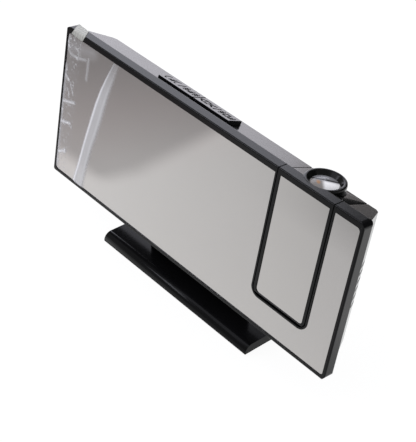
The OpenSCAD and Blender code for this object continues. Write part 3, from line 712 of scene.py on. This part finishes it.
@dataclass
class TransitFilm(Assembly):
    """Clear film on the mirror, with a long blister and creases at its loose end, in millimetres.

    Each shine of the blister is a painted highlight line, with a place across it, a width and a strength.
    """

    LIFT: ClassVar[str] = "lift"
    INSIDE_ONLY: ClassVar[int] = 1

    half_width: float = 93.8
    bottom: float = 2.0
    top: float = 77.0
    corner: float = 1.7
    notch_x: float = 63.4
    notch_half: float = 16.95
    notch_bottom: float = 15.05
    notch_corner: float = 4.95
    face_y: float = 0.27
    fine_until: float = -50.0
    fine_step: float = 0.7
    coarse_step: float = 6.0
    row_share: float = 0.87
    rim_step: float = 2.0
    rim_margin: float = 0.5
    merge_mm: float = 1e-4
    strips: int = 16
    blister_margin: float = 0.1
    blister_height: float = 0.45
    blister_full: float = 54.0
    blister_faint: float = 0.3
    faint_power: float = 1.5
    milk_and_sheen: float = 0.5
    milk_and_sheen_rise: float = 11.0
    milk_and_sheen_fall: float = 2.6
    shines: tuple[Triple, ...] = ((0.12, 0.09, 0.5), (0.7, 0.1, 0.16))
    blister_left: tuple[Point, ...] = (
        (-59.9, 76.5), (-64.5, 66.3), (-67.3, 59.0), (-69.8, 50.8), (-71.9, 41.9), (-74.1, 31.9),
        (-75.9, 22.7), (-77.8, 12.9), (-80.4, 2.0),
    )
    blister_right: tuple[Point, ...] = (
        (-55.0, 76.5), (-56.9, 67.6), (-58.8, 60.4), (-60.2, 53.2), (-61.8, 44.3), (-63.9, 35.1),
        (-66.4, 26.4), (-68.2, 16.7), (-69.4, 8.4), (-70.0, 2.0),
    )
    creases: tuple[Crease, ...] = (
        Crease(((-92.6, 75.3), (-93.2, 72.3), (-92.6, 68.8), (-90.6, 67.0), (-85.4, 67.2), (-79.5, 68.9)),
               1.3, 0.3, 0.42),
        Crease(((-90.5, 71.0), (-84.0, 72.5), (-75.0, 74.5)), 5.0, 0.0, 0.17),
        Crease(((-84.1, 75.5), (-83.6, 67.9)), 0.9, 0.2, 0.3),
        Crease(((-77.4, 70.2), (-77.6, 59.5)), 1.4, 0.3, 0.36),
        Crease(((-93.0, 55.1), (-90.4, 53.0)), 1.0, 0.25, 0.75),
        Crease(((-88.9, 52.4), (-86.2, 47.1)), 1.0, 0.25, 0.35),
        Crease(((-91.3, 48.6), (-89.0, 46.4)), 0.9, 0.2, 0.35),
        Crease(((-93.2, 40.6), (-84.6, 43.2)), 1.1, 0.3, 0.85),
        Crease(((-93.0, 29.3), (-86.3, 31.1)), 1.1, 0.3, 0.85),
        Crease(((-84.9, 30.6), (-84.7, 29.0)), 0.8, 0.2, 0.35),
        Crease(((-93.0, 11.8), (-87.9, 14.8)), 1.1, 0.3, 0.85),
        Crease(((-93.4, 60.0), (-93.3, 4.0)), 1.6, 0.25, 0.4),
    )

    def build(self) -> None:
        """Makes the film in place of the plain CAD sheet."""
        rim = self._outline()
        inner = [p for p in self._grid() + self._blister_rows() if self._inside(p)]
        seats = [Vector(p) for p in rim + inner]
        edges = [(i, (i + 1) % len(rim)) for i in range(len(rim))]
        made = delaunay_2d_cdt(seats, edges, [], self.INSIDE_ONLY, self.merge_mm)
        lifts = [self._lift(v.x, v.y) for v in made[0]]
        points = [(v.x, self.face_y - lift[0], v.y) for v, lift in zip(made[0], lifts)]
        piece = make_piece("transit_film", points, made[2], BODY.place())
        # The lift attribute carries the milkiness with its painted sheen.
        milk_and_sheen = piece.data.attributes.new(self.LIFT, "FLOAT", "POINT")
        milk_and_sheen.data.foreach_set("value", [lift[1] for lift in lifts])
        piece.data.shade_smooth()
        Palette.CLEAR_FILM.on(piece)
        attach(piece, "clock_body")
        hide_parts("protective_film")
        LOG.info("transit_film: %d points", len(points))

    def _outline(self) -> list[Point]:
        """The film's rim, once round, with the arm's notch.

        Returns:
            Its points in order.
        """
        w, r, q, n = self.half_width, self.corner, self.notch_corner, self.notch_half
        left, right = self.notch_x - n, self.notch_x + n
        stops = [
            *_arc((w - r, self.bottom + r), r, -90, 0), *_arc((w - r, self.top - r), r, 0, 90),
            (right, self.top), *_arc((right - q, self.notch_bottom + q), q, 0, -90),
            *_arc((left + q, self.notch_bottom + q), q, -90, -180), (left, self.top),
            *_arc((-w + r, self.top - r), r, 90, 180), *_arc((-w + r, self.bottom + r), r, 180, 270),
        ]
        rim = []
        for start, end in zip(stops, stops[1:] + stops[:1]):
            count = max(1, round(math.dist(start, end) / self.rim_step))
            rim += [tuple(a + (b - a) * i / count for a, b in zip(start, end)) for i in range(count)]
        return rim

    def _grid(self) -> list[Point]:
        """Points over the film, closer together at its creased end.

        Returns:
            The points, none on the blister.
        """
        points, x, row = [], -self.half_width, 0
        margin = self.blister_margin
        while x < self.half_width:
            gap = self.fine_step if x < self.fine_until else self.coarse_step
            z = self.bottom + gap * (0.5 + 0.5 * (row % 2))
            while z < self.top:
                if not -margin < self._across(x, z) < 1.0 + margin:
                    points.append((x, z))
                z += gap
            x += self.row_share * gap
            row += 1
        return points

    def _across(self, x: float, z: float) -> float:
        """Where a point lies across the blister: 0 at its left edge, 1 at its right one."""
        left, right = _at_height(self.blister_left, z), _at_height(self.blister_right, z)
        return (x - left) / (right - left)

    def _blister_rows(self) -> list[Point]:
        """Points in strips along the blister, so that its edges run clean.

        Returns:
            The points.
        """
        points = []
        z = self.bottom + self.fine_step
        while z < self.top:
            left, right = _at_height(self.blister_left, z), _at_height(self.blister_right, z)
            points += [(left + i / self.strips * (right - left), z) for i in range(self.strips + 1)]
            z += self.fine_step
        return points

    def _inside(self, point: Point) -> bool:
        """True for a point on the film, well inside its rim.

        Args:
            point: Place on the mirror.

        Returns:
            Whether the film covers it.
        """
        x, z = point
        margin = self.rim_margin
        if abs(x) > self.half_width - margin or not self.bottom + margin < z < self.top - margin:
            return False
        aside = abs(x - self.notch_x) - self.notch_half
        below = self.notch_bottom - z
        return aside > margin or below > margin

    def _lift(self, x: float, z: float) -> tuple[float, float]:
        """How far the film stands off, and how milky it looks there, milkiness that is partly real and partly
        painted sheen.

        Args:
            x: Place along the mirror.
            z: Height on the mirror.

        Returns:
            Height in millimetres, and milkiness with its painted sheen from 0 to 1.
        """
        height = milk_and_sheen = 0.0
        if x < self.fine_until:
            for crease in self.creases:
                share = crease.share(x, z)
                height = max(height, crease.height * share * share)
                milk_and_sheen = max(milk_and_sheen, crease.milk_and_sheen * share)
            across = self._across(x, z)
            if 0.0 < across < 1.0:
                height = max(height, self.blister_height * (4.0 * across * (1.0 - across)) ** 2)
                milk_and_sheen = max(milk_and_sheen, self._milk_and_sheen(across, z))
        return height, milk_and_sheen

    def _milk_and_sheen(self, across: float, z: float) -> float:
        """How milky the blister looks, with painted highlight lines along its edges.

        Args:
            across: Place across it, from 0 to 1.
            z: Height on the mirror.

        Returns:
            Milkiness from 0 to 1.
        """
        fade = min(1.0, self.milk_and_sheen_fall * (1.0 - across))
        rim = min(1.0, self.milk_and_sheen_rise * across, fade * fade * (3.0 - 2.0 * fade))
        milk_and_sheen = self.milk_and_sheen + sum(s * math.exp(-((across - at) / wide) ** 2) for at, wide, s in self.shines)
        upper = max(0.0, z - self.blister_full) / (self.top - self.blister_full)
        return rim * milk_and_sheen * (1.0 - (1.0 - self.blister_faint) * upper ** self.faint_power)


def _arc(centre: Point, radius: float, start: float, end: float, steps: int = 8) -> list[Point]:
    """Points along an arc, both ends included; angles in degrees."""
    angles = [math.radians(start + (end - start) * i / steps) for i in range(steps + 1)]
    return [(centre[0] + radius * math.cos(a), centre[1] + radius * math.sin(a)) for a in angles]


@dataclass
class PullTab(Assembly):
    """Ribbed tape that holds the film over the top left edge."""

    front_left: float = -91.4
    edge_left: float = -90.0
    back_left: float = -93.8
    width: float = 8.45
    down_left: float = 2.5
    down_right: float = 3.05
    reach_left: float = 5.9
    reach_right: float = 5.2
    edge_r: float = 0.7
    body_h: float = 80.0
    thick: float = 0.2
    rib_pitch: float = 0.55
    rib_rise: float = 0.05
    rib_steps: int = 6
    flat_steps: int = 5
    edge_steps: int = 8

    def build(self) -> None:
        """Makes the tape in place of the plain CAD strip."""
        columns = round(self.width / self.rib_pitch) * self.rib_steps
        paths = [self._path(i / columns) for i in range(columns + 1)]
        lefts = self._lefts(paths[columns // 2])
        rows = len(lefts)
        points = []
        for outer in (True, False):
            for j in range(rows):
                for i in range(columns + 1):
                    spot, normal = paths[i][j]
                    rib = 0.5 - 0.5 * math.cos(2 * math.pi * i * self.width / columns / self.rib_pitch)
                    rise = self.thick - self.rib_rise * (1.0 - rib) if outer else 0.0
                    x = lefts[j] + self.width * i / columns
                    points.append((x, spot[0] + rise * normal[0], spot[1] + rise * normal[1]))
        layer, span = rows * (columns + 1), columns + 1
        faces = []
        for j in range(rows - 1):
            for i in range(columns):
                a = j * span + i
                faces.append((a, a + 1, a + 1 + span, a + span))
                faces.append((layer + a, layer + a + span, layer + a + 1 + span, layer + a + 1))
        rim = [*range(span), *(j * span + columns for j in range(1, rows)),
               *range(layer - 2, layer - span - 1, -1), *(j * span for j in range(rows - 2, 0, -1))]
        for a, b in zip(rim, rim[1:] + rim[:1]):
            faces.append((b, a, layer + a, layer + b))
        piece = make_piece("tab_tape", points, faces, BODY.place())
        piece.data.shade_smooth()
        Palette.TAB_TAPE.on(piece)
        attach(piece, "clock_body")
        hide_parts("film_pull_tab")
        LOG.info("tab_tape: %d points", len(points))

    def _lefts(self, path: Sequence[tuple[Point, Point]]) -> list[float]:
        """Where the tape's left side lies along one thread: it runs aslant to the edge and back.

        Args:
            path: The thread, with the edge in its middle.

        Returns:
            The place along the body at each of its points.
        """
        runs = [0.0]
        for (start, _), (end, _) in zip(path, path[1:]):
            runs.append(runs[-1] + math.dist(start, end))
        edge, end = runs[len(path) // 2], runs[-1]
        lefts = []
        for run in runs:
            before, after = min(run, edge) / edge, max(run - edge, 0.0) / (end - edge)
            left = self.front_left + (self.edge_left - self.front_left) * before
            lefts.append(left + (self.back_left - self.edge_left) * after)
        return lefts

    def _path(self, share: float) -> list[tuple[Point, Point]]:
        """One thread of the tape, from the front over the edge to the back.

        Args:
            share: 0 at the tape's left side, 1 at its right side.

        Returns:
            Points of (y, z) with their outward normals.
        """
        path = []
        down = self.down_left + share * (self.down_right - self.down_left)
        reach = self.reach_left + share * (self.reach_right - self.reach_left)
        flat = self.flat_steps
        for i in range(flat):
            path.append(((0.0, self.body_h - down + i * (down - self.edge_r) / flat), (-1.0, 0.0)))
        for i in range(self.edge_steps + 1):
            turn = math.radians(90 * i / self.edge_steps)
            normal = (-math.cos(turn), math.sin(turn))
            spot = (self.edge_r * (1 + normal[0]), self.body_h - self.edge_r * (1 - normal[1]))
            path.append((spot, normal))
        for i in range(1, flat + 1):
            path.append(((self.edge_r + i * (reach - self.edge_r) / flat, self.body_h), (0.0, 1.0)))
        return path


@dataclass
class TopKeys(Assembly):
    """The two long keys on the slope, with plain pictograms."""

    finishes: ClassVar[Finishes] = {
        "snooze_key": Palette.KEY_PLASTIC,
        "light_key": Palette.KEY_PLASTIC,
    }
    edges: ClassVar[Edges] = {"snooze_key": 0.25, "light_key": 0.25}
    SLASH: ClassVar[Outlines] = [[(-1.1, -1.7), (-0.2, -1.7), (1.1, 1.7), (0.2, 1.7)]]
    BEAM: ClassVar[Outlines] = [
        [(-1.7, -0.4), (-1.7, 0.4), (1.7, 1.75), (1.7, 0.95)],
        [(-1.7, -0.4), (1.7, -1.75), (1.7, -0.95), (-1.7, 0.4)],
    ]

    rise: float = 2.2
    ink: float = 0.05
    row_y: float = 6.2
    scale: float = 1.4
    narrow: float = 0.56
    left_key: float = -26.0
    right_key: float = -2.6
    pitch: float = 3.1
    moon: float = 1.75
    bite: float = 1.5
    bite_x: float = 0.62

    def build(self) -> None:
        """Prints a row of marks on each key."""
        moon, sun, bars, screen = self._moon(), self._sun(), self._bars(), self._screen()
        snooze = [moon, bars, moon, self.SLASH, sun, bars, sun]
        light = [self.BEAM, screen, self.BEAM, self.SLASH, sun, screen, bars]
        self._print("snooze_legend", "snooze_key", self.left_key, snooze)
        self._print("light_legend", "light_key", self.right_key, light)

    def _print(self, name: str, body: str, middle: float, marks: Sequence[Outlines]) -> None:
        """Makes one key's row of marks.

        Args:
            name: Name of the piece.
            body: Body that it rides on.
            middle: Middle of the row along the key.
            marks: Outlines of each mark, in millimetres round its middle.
        """
        work = bmesh.new()
        for i, outlines in enumerate(marks):
            x0 = middle + (i - (len(marks) - 1) / 2) * self.pitch
            for outline in outlines:
                spots = [(x0 + self.narrow * self.scale * x, self.row_y + self.scale * y) for x, y in outline]
                ring = [work.verts.new((*spot, self.rise)) for spot in spots]
                made = bmesh.ops.extrude_face_region(work, geom=[work.faces.new(ring)])
                lifted = [g for g in made["geom"] if isinstance(g, bmesh.types.BMVert)]
                bmesh.ops.translate(work, verts=lifted, vec=(0.0, 0.0, self.ink))
        bmesh.ops.triangulate(work, faces=work.faces)
        bmesh.ops.recalc_face_normals(work, faces=work.faces)
        work.transform(BODY.slope())
        mesh = bpy.data.meshes.new(name)
        work.to_mesh(mesh)
        work.free()
        piece = bpy.data.objects.new(name, mesh)
        bpy.context.scene.collection.objects.link(piece)
        Palette.LEGEND_INK.on(piece)
        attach(piece, body)
        LOG.info("%s: %d marks", name, len(marks))

    def _moon(self) -> Outlines:
        """A crescent: a disc with a bite out of its right side."""
        outer = _arc((0.0, 0.0), self.moon, start=50, end=310, steps=20)
        return [outer + _arc((self.bite_x, 0.0), self.bite, start=282, end=78, steps=16)]

    @staticmethod
    def _sun() -> Outlines:
        """A disc with rays.

        Returns:
            An outline for the disc and each ray.
        """
        disc, near, far, half, count = 0.95, 1.2, 1.8, 0.22, 8
        outlines = [_arc((0.0, 0.0), disc, start=0, end=345, steps=23)]
        for k in range(count):
            turn = 2 * math.pi * k / count
            c, s = math.cos(turn), math.sin(turn)
            corners = [(near, -half), (far, -half), (far, half), (near, half)]
            outlines.append([(x * c - y * s, x * s + y * c) for x, y in corners])
        return outlines

    @staticmethod
    def _bars() -> Outlines:
        """Three bars, each taller than the last.

        Returns:
            An outline for each bar.
        """
        pitch, growth, base = 1.15, 0.8, -1.4
        outlines = []
        for k in range(3):
            left, right, top = -1.7 + pitch * k, -0.9 + pitch * k, -0.1 + growth * k
            outlines.append([(left, base), (right, base), (right, top), (left, top)])
        return outlines

    @staticmethod
    def _screen() -> Outlines:
        """An open frame of four bars."""
        w, h, t = 1.7, 1.45, 0.6
        return [
            [(-w, -h), (w, -h), (w, -h + t), (-w, -h + t)],
            [(-w, h - t), (w, h - t), (w, h), (-w, h)],
            [(-w, -h + t), (-w + t, -h + t), (-w + t, h - t), (-w, h - t)],
            [(w - t, -h + t), (w, -h + t), (w, h - t), (w - t, h - t)],
        ]


@dataclass
class RearKeys(Assembly):
    """Five setting keys in the rear face."""

    finishes: ClassVar[Finishes] = {
        name: Palette.KEY_PLASTIC for name in ("set_key", "up_key", "down_key", "alarm_key", "time_key")
    }
    edges: ClassVar[Edges] = {name: 0.3 for name in finishes}


@dataclass
class ProjectorArm(Assembly):
    """The arm that folds out of the face, with its mirror and hinge."""

    finishes: ClassVar[Finishes] = {
        "arm_front": Palette.BLACK_FRAME,
        "arm_rear": Palette.SATIN_BLACK,
        "arm_mirror": Palette.HALF_MIRROR,
        "hinge_pins": Palette.ZINC_STEEL,
        "arm_screws": Palette.BLACK_SCREW,
    }
    edges: ClassVar[Edges] = {"arm_rear": 0.25}


@dataclass
class Optics(Assembly):
    """Lens, focus ring and what lies under them."""

    finishes: ClassVar[Finishes] = {
        "focus_ring": Palette.RING_BLACK,
        "lens_barrel": Palette.MASK_PLASTIC,
        "objective_lens": Palette.FRONT_LENS,
        "condenser_lens": Palette.LENS_GLASS,
        "projector_lcd": Palette.LCD_GLASS,
        "projector_board": Palette.CIRCUIT_BOARD,
        "projector_led": Palette.DIFFUSER,
    }


@dataclass
class Foot(Assembly):
    """Foot bar, rubber strips and stem screws."""

    finishes: ClassVar[Finishes] = {
        "foot_base": Palette.GLOSS_BLACK,
        "foot_pads": Palette.PAD_RUBBER,
        "stem_screws": Palette.BLACK_SCREW,
    }
    edges: ClassVar[Edges] = {"foot_base": 0.4}


@dataclass(frozen=True)
class PaleFloor(Finish):
    """A floor that is white to the camera and shaded off to the left in mirrors, in metres.

    Each fall, like the slant, has a start, a rate and a most.
    """

    white: float = 0.94
    dull: float = 0.1
    pale: float = 0.82
    slant: Triple = (0.09, 0.27, 0.027)
    shade_left: Point = (0.092, 0.111)
    shade_front: Point = (0.054, 0.07)
    shade_level: float = 0.62
    shade_fall: Triple = (0.105, 2.2, 0.26)
    far_fall: Triple = (0.085, 2.8, 0.26)
    corner_fall: Triple = (0.135, 4.5, 0.16)
    corner_side: Point = (-0.08, 0.0)
    plain_falls: Point = (1.1, 2.0)
    plain_ends: Point = (0.6, 1.02)
    behind: float = 0.6
    behind_side: Point = (0.02, 0.08)
    behind_start: Point = (-0.005, 0.035)
    behind_end: Point = (0.15, 0.3)
    warm: Colour = (1.0, 0.925, 0.92)
    warm_left: Point = (0.08, 0.18)

    def draw(self, graph: Graph) -> None:
        """Tells the camera, mirrors and soft light apart, and lights the floor for each: mirrors see painted
        shade off to the left and front, a painted bright patch behind the clock and a warm tint to the left.

        Args:
            graph: Tree to fill.
        """
        seen, glossy, through = (graph.ray(kind) for kind in ("Camera", "Glossy", "Transmission"))
        spot = graph.add("ShaderNodeNewGeometry", {}, {}, "Position")
        x, y = (graph.add("ShaderNodeSeparateXYZ", {}, {0: spot}, axis) for axis in "XY")
        left, front = -1.0 * x, -1.0 * y
        # Painted shade off to the left and front, seen only in reflections.
        shade = (left - front.ramp(*self.slant)).step(*self.shade_left) * front.step(*self.shade_front)
        level = (self.shade_level - left.ramp(*self.shade_fall)) * (1.0 - front.ramp(*self.far_fall))
        plain = 1.0 - self.plain_falls[0] * x + self.plain_falls[1] * y
        plain = plain.at_most(self.plain_ends[1]).at_least(self.plain_ends[0])
        plain = plain - front.ramp(*self.corner_fall) * x.step(*self.corner_side)
        # Painted bright patch behind the clock, seen only in reflections.
        behind = self.behind * x.step(*self.behind_side) * y.step(*self.behind_start)
        glow = plain + shade * (level - plain) + behind * (1.0 - y.step(*self.behind_end))
        tint = graph.blend(glossy * left.step(*self.warm_left), (1.0, 1.0, 1.0), self.warm)
        strength = seen * self.white + (glossy + through).at_most(1.0) * glow
        shown = graph.add("ShaderNodeVectorMath", {"operation": "SCALE"}, {0: tint, "Scale": strength})
        lit = graph.add("ShaderNodeEmission", {}, {"Color": shown})
        dull, pale = (graph.add("ShaderNodeBsdfDiffuse", {}, {"Color": (grey, grey, grey, 1.0)})
                      for grey in (self.dull, self.pale))
        both = graph.add("ShaderNodeAddShader", {}, {0: lit, 1: dull})
        looked_at = (seen + glossy + through).at_most(1.0)
        graph.finish(graph.add("ShaderNodeMixShader", {}, {0: looked_at, 1: pale, 2: both}))


@dataclass(frozen=True)
class DarkCard(Finish):
    """A card that looks evenly grey."""

    grey: float

    def draw(self, graph: Graph) -> None:
        """Fills the tree with one shade."""
        shade = (self.grey, self.grey, self.grey, 1.0)
        graph.finish(graph.add("ShaderNodeEmission", {}, {"Color": shade, "Strength": 1.0}))


@dataclass(frozen=True)
class Softbox:
    """One soft light, in metres, that faces its aim; a glow of 1 is white."""

    name: str
    middle: Place
    aim: Place
    size: Point
    glow: float
    tint: Colour = (0.93, 0.94, 1.06)

    def hang(self) -> None:
        """Puts the light into the scene, out of the camera's sight."""
        data = bpy.data.lights.new(self.name, "AREA")
        data.shape = "RECTANGLE"
        data.size, data.size_y = self.size
        data.energy = self.glow * math.pi * self.size[0] * self.size[1]
        data.color = self.tint
        light = bpy.data.objects.new(self.name, data)
        look = (Vector(self.aim) - Vector(self.middle)).to_track_quat("-Z", "Y")
        light.matrix_world = Matrix.Translation(self.middle) @ look.to_matrix().to_4x4()
        light.visible_camera = False
        bpy.context.scene.collection.objects.link(light)


@dataclass
class Studio:
    """Pale floor, soft lights, a dark card and the camera, in metres."""

    eye: Place = (0.317927, -0.326825, 0.378863)
    right: Place = (0.66576, 0.74182, 0.08039)
    down: Place = (0.49347, -0.35692, -0.79315)
    focal_px: float = 1222.936
    image_h: int = 442
    sensor_mm: float = 36.0
    nearest: float = 0.01
    floor_size: float = 12.0
    floor_drop: float = 0.00005
    ambient: float = 0.5
    glossy_less: float = 0.12
    card_grey: float = 0.07
    card_left: Point = (-0.53, 1.07)
    card_right: Point = (1.04, 0.6)
    card_top: float = 0.9
    lights: tuple[Softbox, ...] = (
        Softbox("softbox_low", (-0.887, 0.59, 0.16), (0.0, 0.0, 0.16), (1.08, 0.32), 1.85),
        Softbox("softbox_high", (-0.9, 0.57, 0.62), (-0.01, -0.017, 0.06), (1.03, 0.6), 2.35),
        Softbox("softbox_top", (-0.3, -0.5, 1.4), (0.0, 0.0, 0.05), (1.2, 1.2), 1.2),
        Softbox("softbox_front", (-1.0, -1.05, 1.05), (0.0, 0.0, 0.06), (0.45, 0.45), 6.0),
    )

    def build(self) -> None:
        """Builds the whole studio."""
        self.camera()
        self.floor()
        self.world()
        for light in self.lights:
            light.hang()
        self.card()
        bpy.context.scene.view_settings.view_transform = "Standard"
        LOG.info("studio: %d lights", len(self.lights))

    def camera(self) -> None:
        """Sets the camera at the photograph's angle."""
        data = bpy.data.cameras.new("camera")
        data.sensor_fit = "VERTICAL"
        data.sensor_height = self.sensor_mm
        data.lens = self.focal_px * self.sensor_mm / self.image_h
        data.clip_start = self.nearest
        eye = bpy.data.objects.new("camera", data)
        right, up = Vector(self.right), -Vector(self.down)
        turn = Matrix((right, up, right.cross(up))).transposed()
        eye.matrix_world = Matrix.Translation(self.eye) @ turn.to_4x4()
        bpy.context.scene.collection.objects.link(eye)
        bpy.context.scene.camera = eye

    def floor(self) -> None:
        """Lays a pale floor that keeps the clock's shadow."""
        h, z = self.floor_size / 2, -self.floor_drop
        corners = [(-h, -h, z), (h, -h, z), (h, h, z), (-h, h, z)]
        floor = make_piece("floor", corners, [(0, 1, 2, 3)], Matrix.Identity(4))
        floor.data.materials.append(PaleFloor("pale_floor").material())

    def world(self) -> None:
        """Sets plain surroundings, white where they are seen."""
        world = bpy.data.worlds.new("studio")
        world.use_nodes = True
        graph = Graph(world.node_tree)
        plainly = (graph.ray("Camera") + graph.ray("Transmission")).at_most(1.0)
        strength = self.ambient + (1.0 - self.ambient) * plainly - self.glossy_less * graph.ray("Glossy")
        inputs = {"Color": (1.0, 1.0, 1.0, 1.0), "Strength": strength}
        graph.finish(graph.add("ShaderNodeBackground", {}, inputs), "ShaderNodeOutputWorld")
        bpy.context.scene.world = world

    def card(self) -> None:
        """Stands a dark card that only reflections see."""
        ends = (self.card_left, self.card_right)
        corners = [(*end, 0.0) for end in ends] + [(*end, self.card_top) for end in reversed(ends)]
        card = make_piece("dark_card", corners, [(0, 1, 2, 3)], Matrix.Identity(4))
        card.data.materials.append(DarkCard("dark_card", self.card_grey).material())
        card.visible_camera = card.visible_diffuse = card.visible_shadow = False


def main() -> None:
    """Builds and dresses the clock, piece by piece."""
    logging.basicConfig(level=logging.INFO, format="%(name)s %(message)s")
    for part in (Case(), Display(), TransitFilm(), PullTab(), TopKeys(), RearKeys(), ProjectorArm(),
                 Optics(), Foot()):
        part.dress()
        part.build()
    Studio().build()


if __name__ == "__main__":
    main()
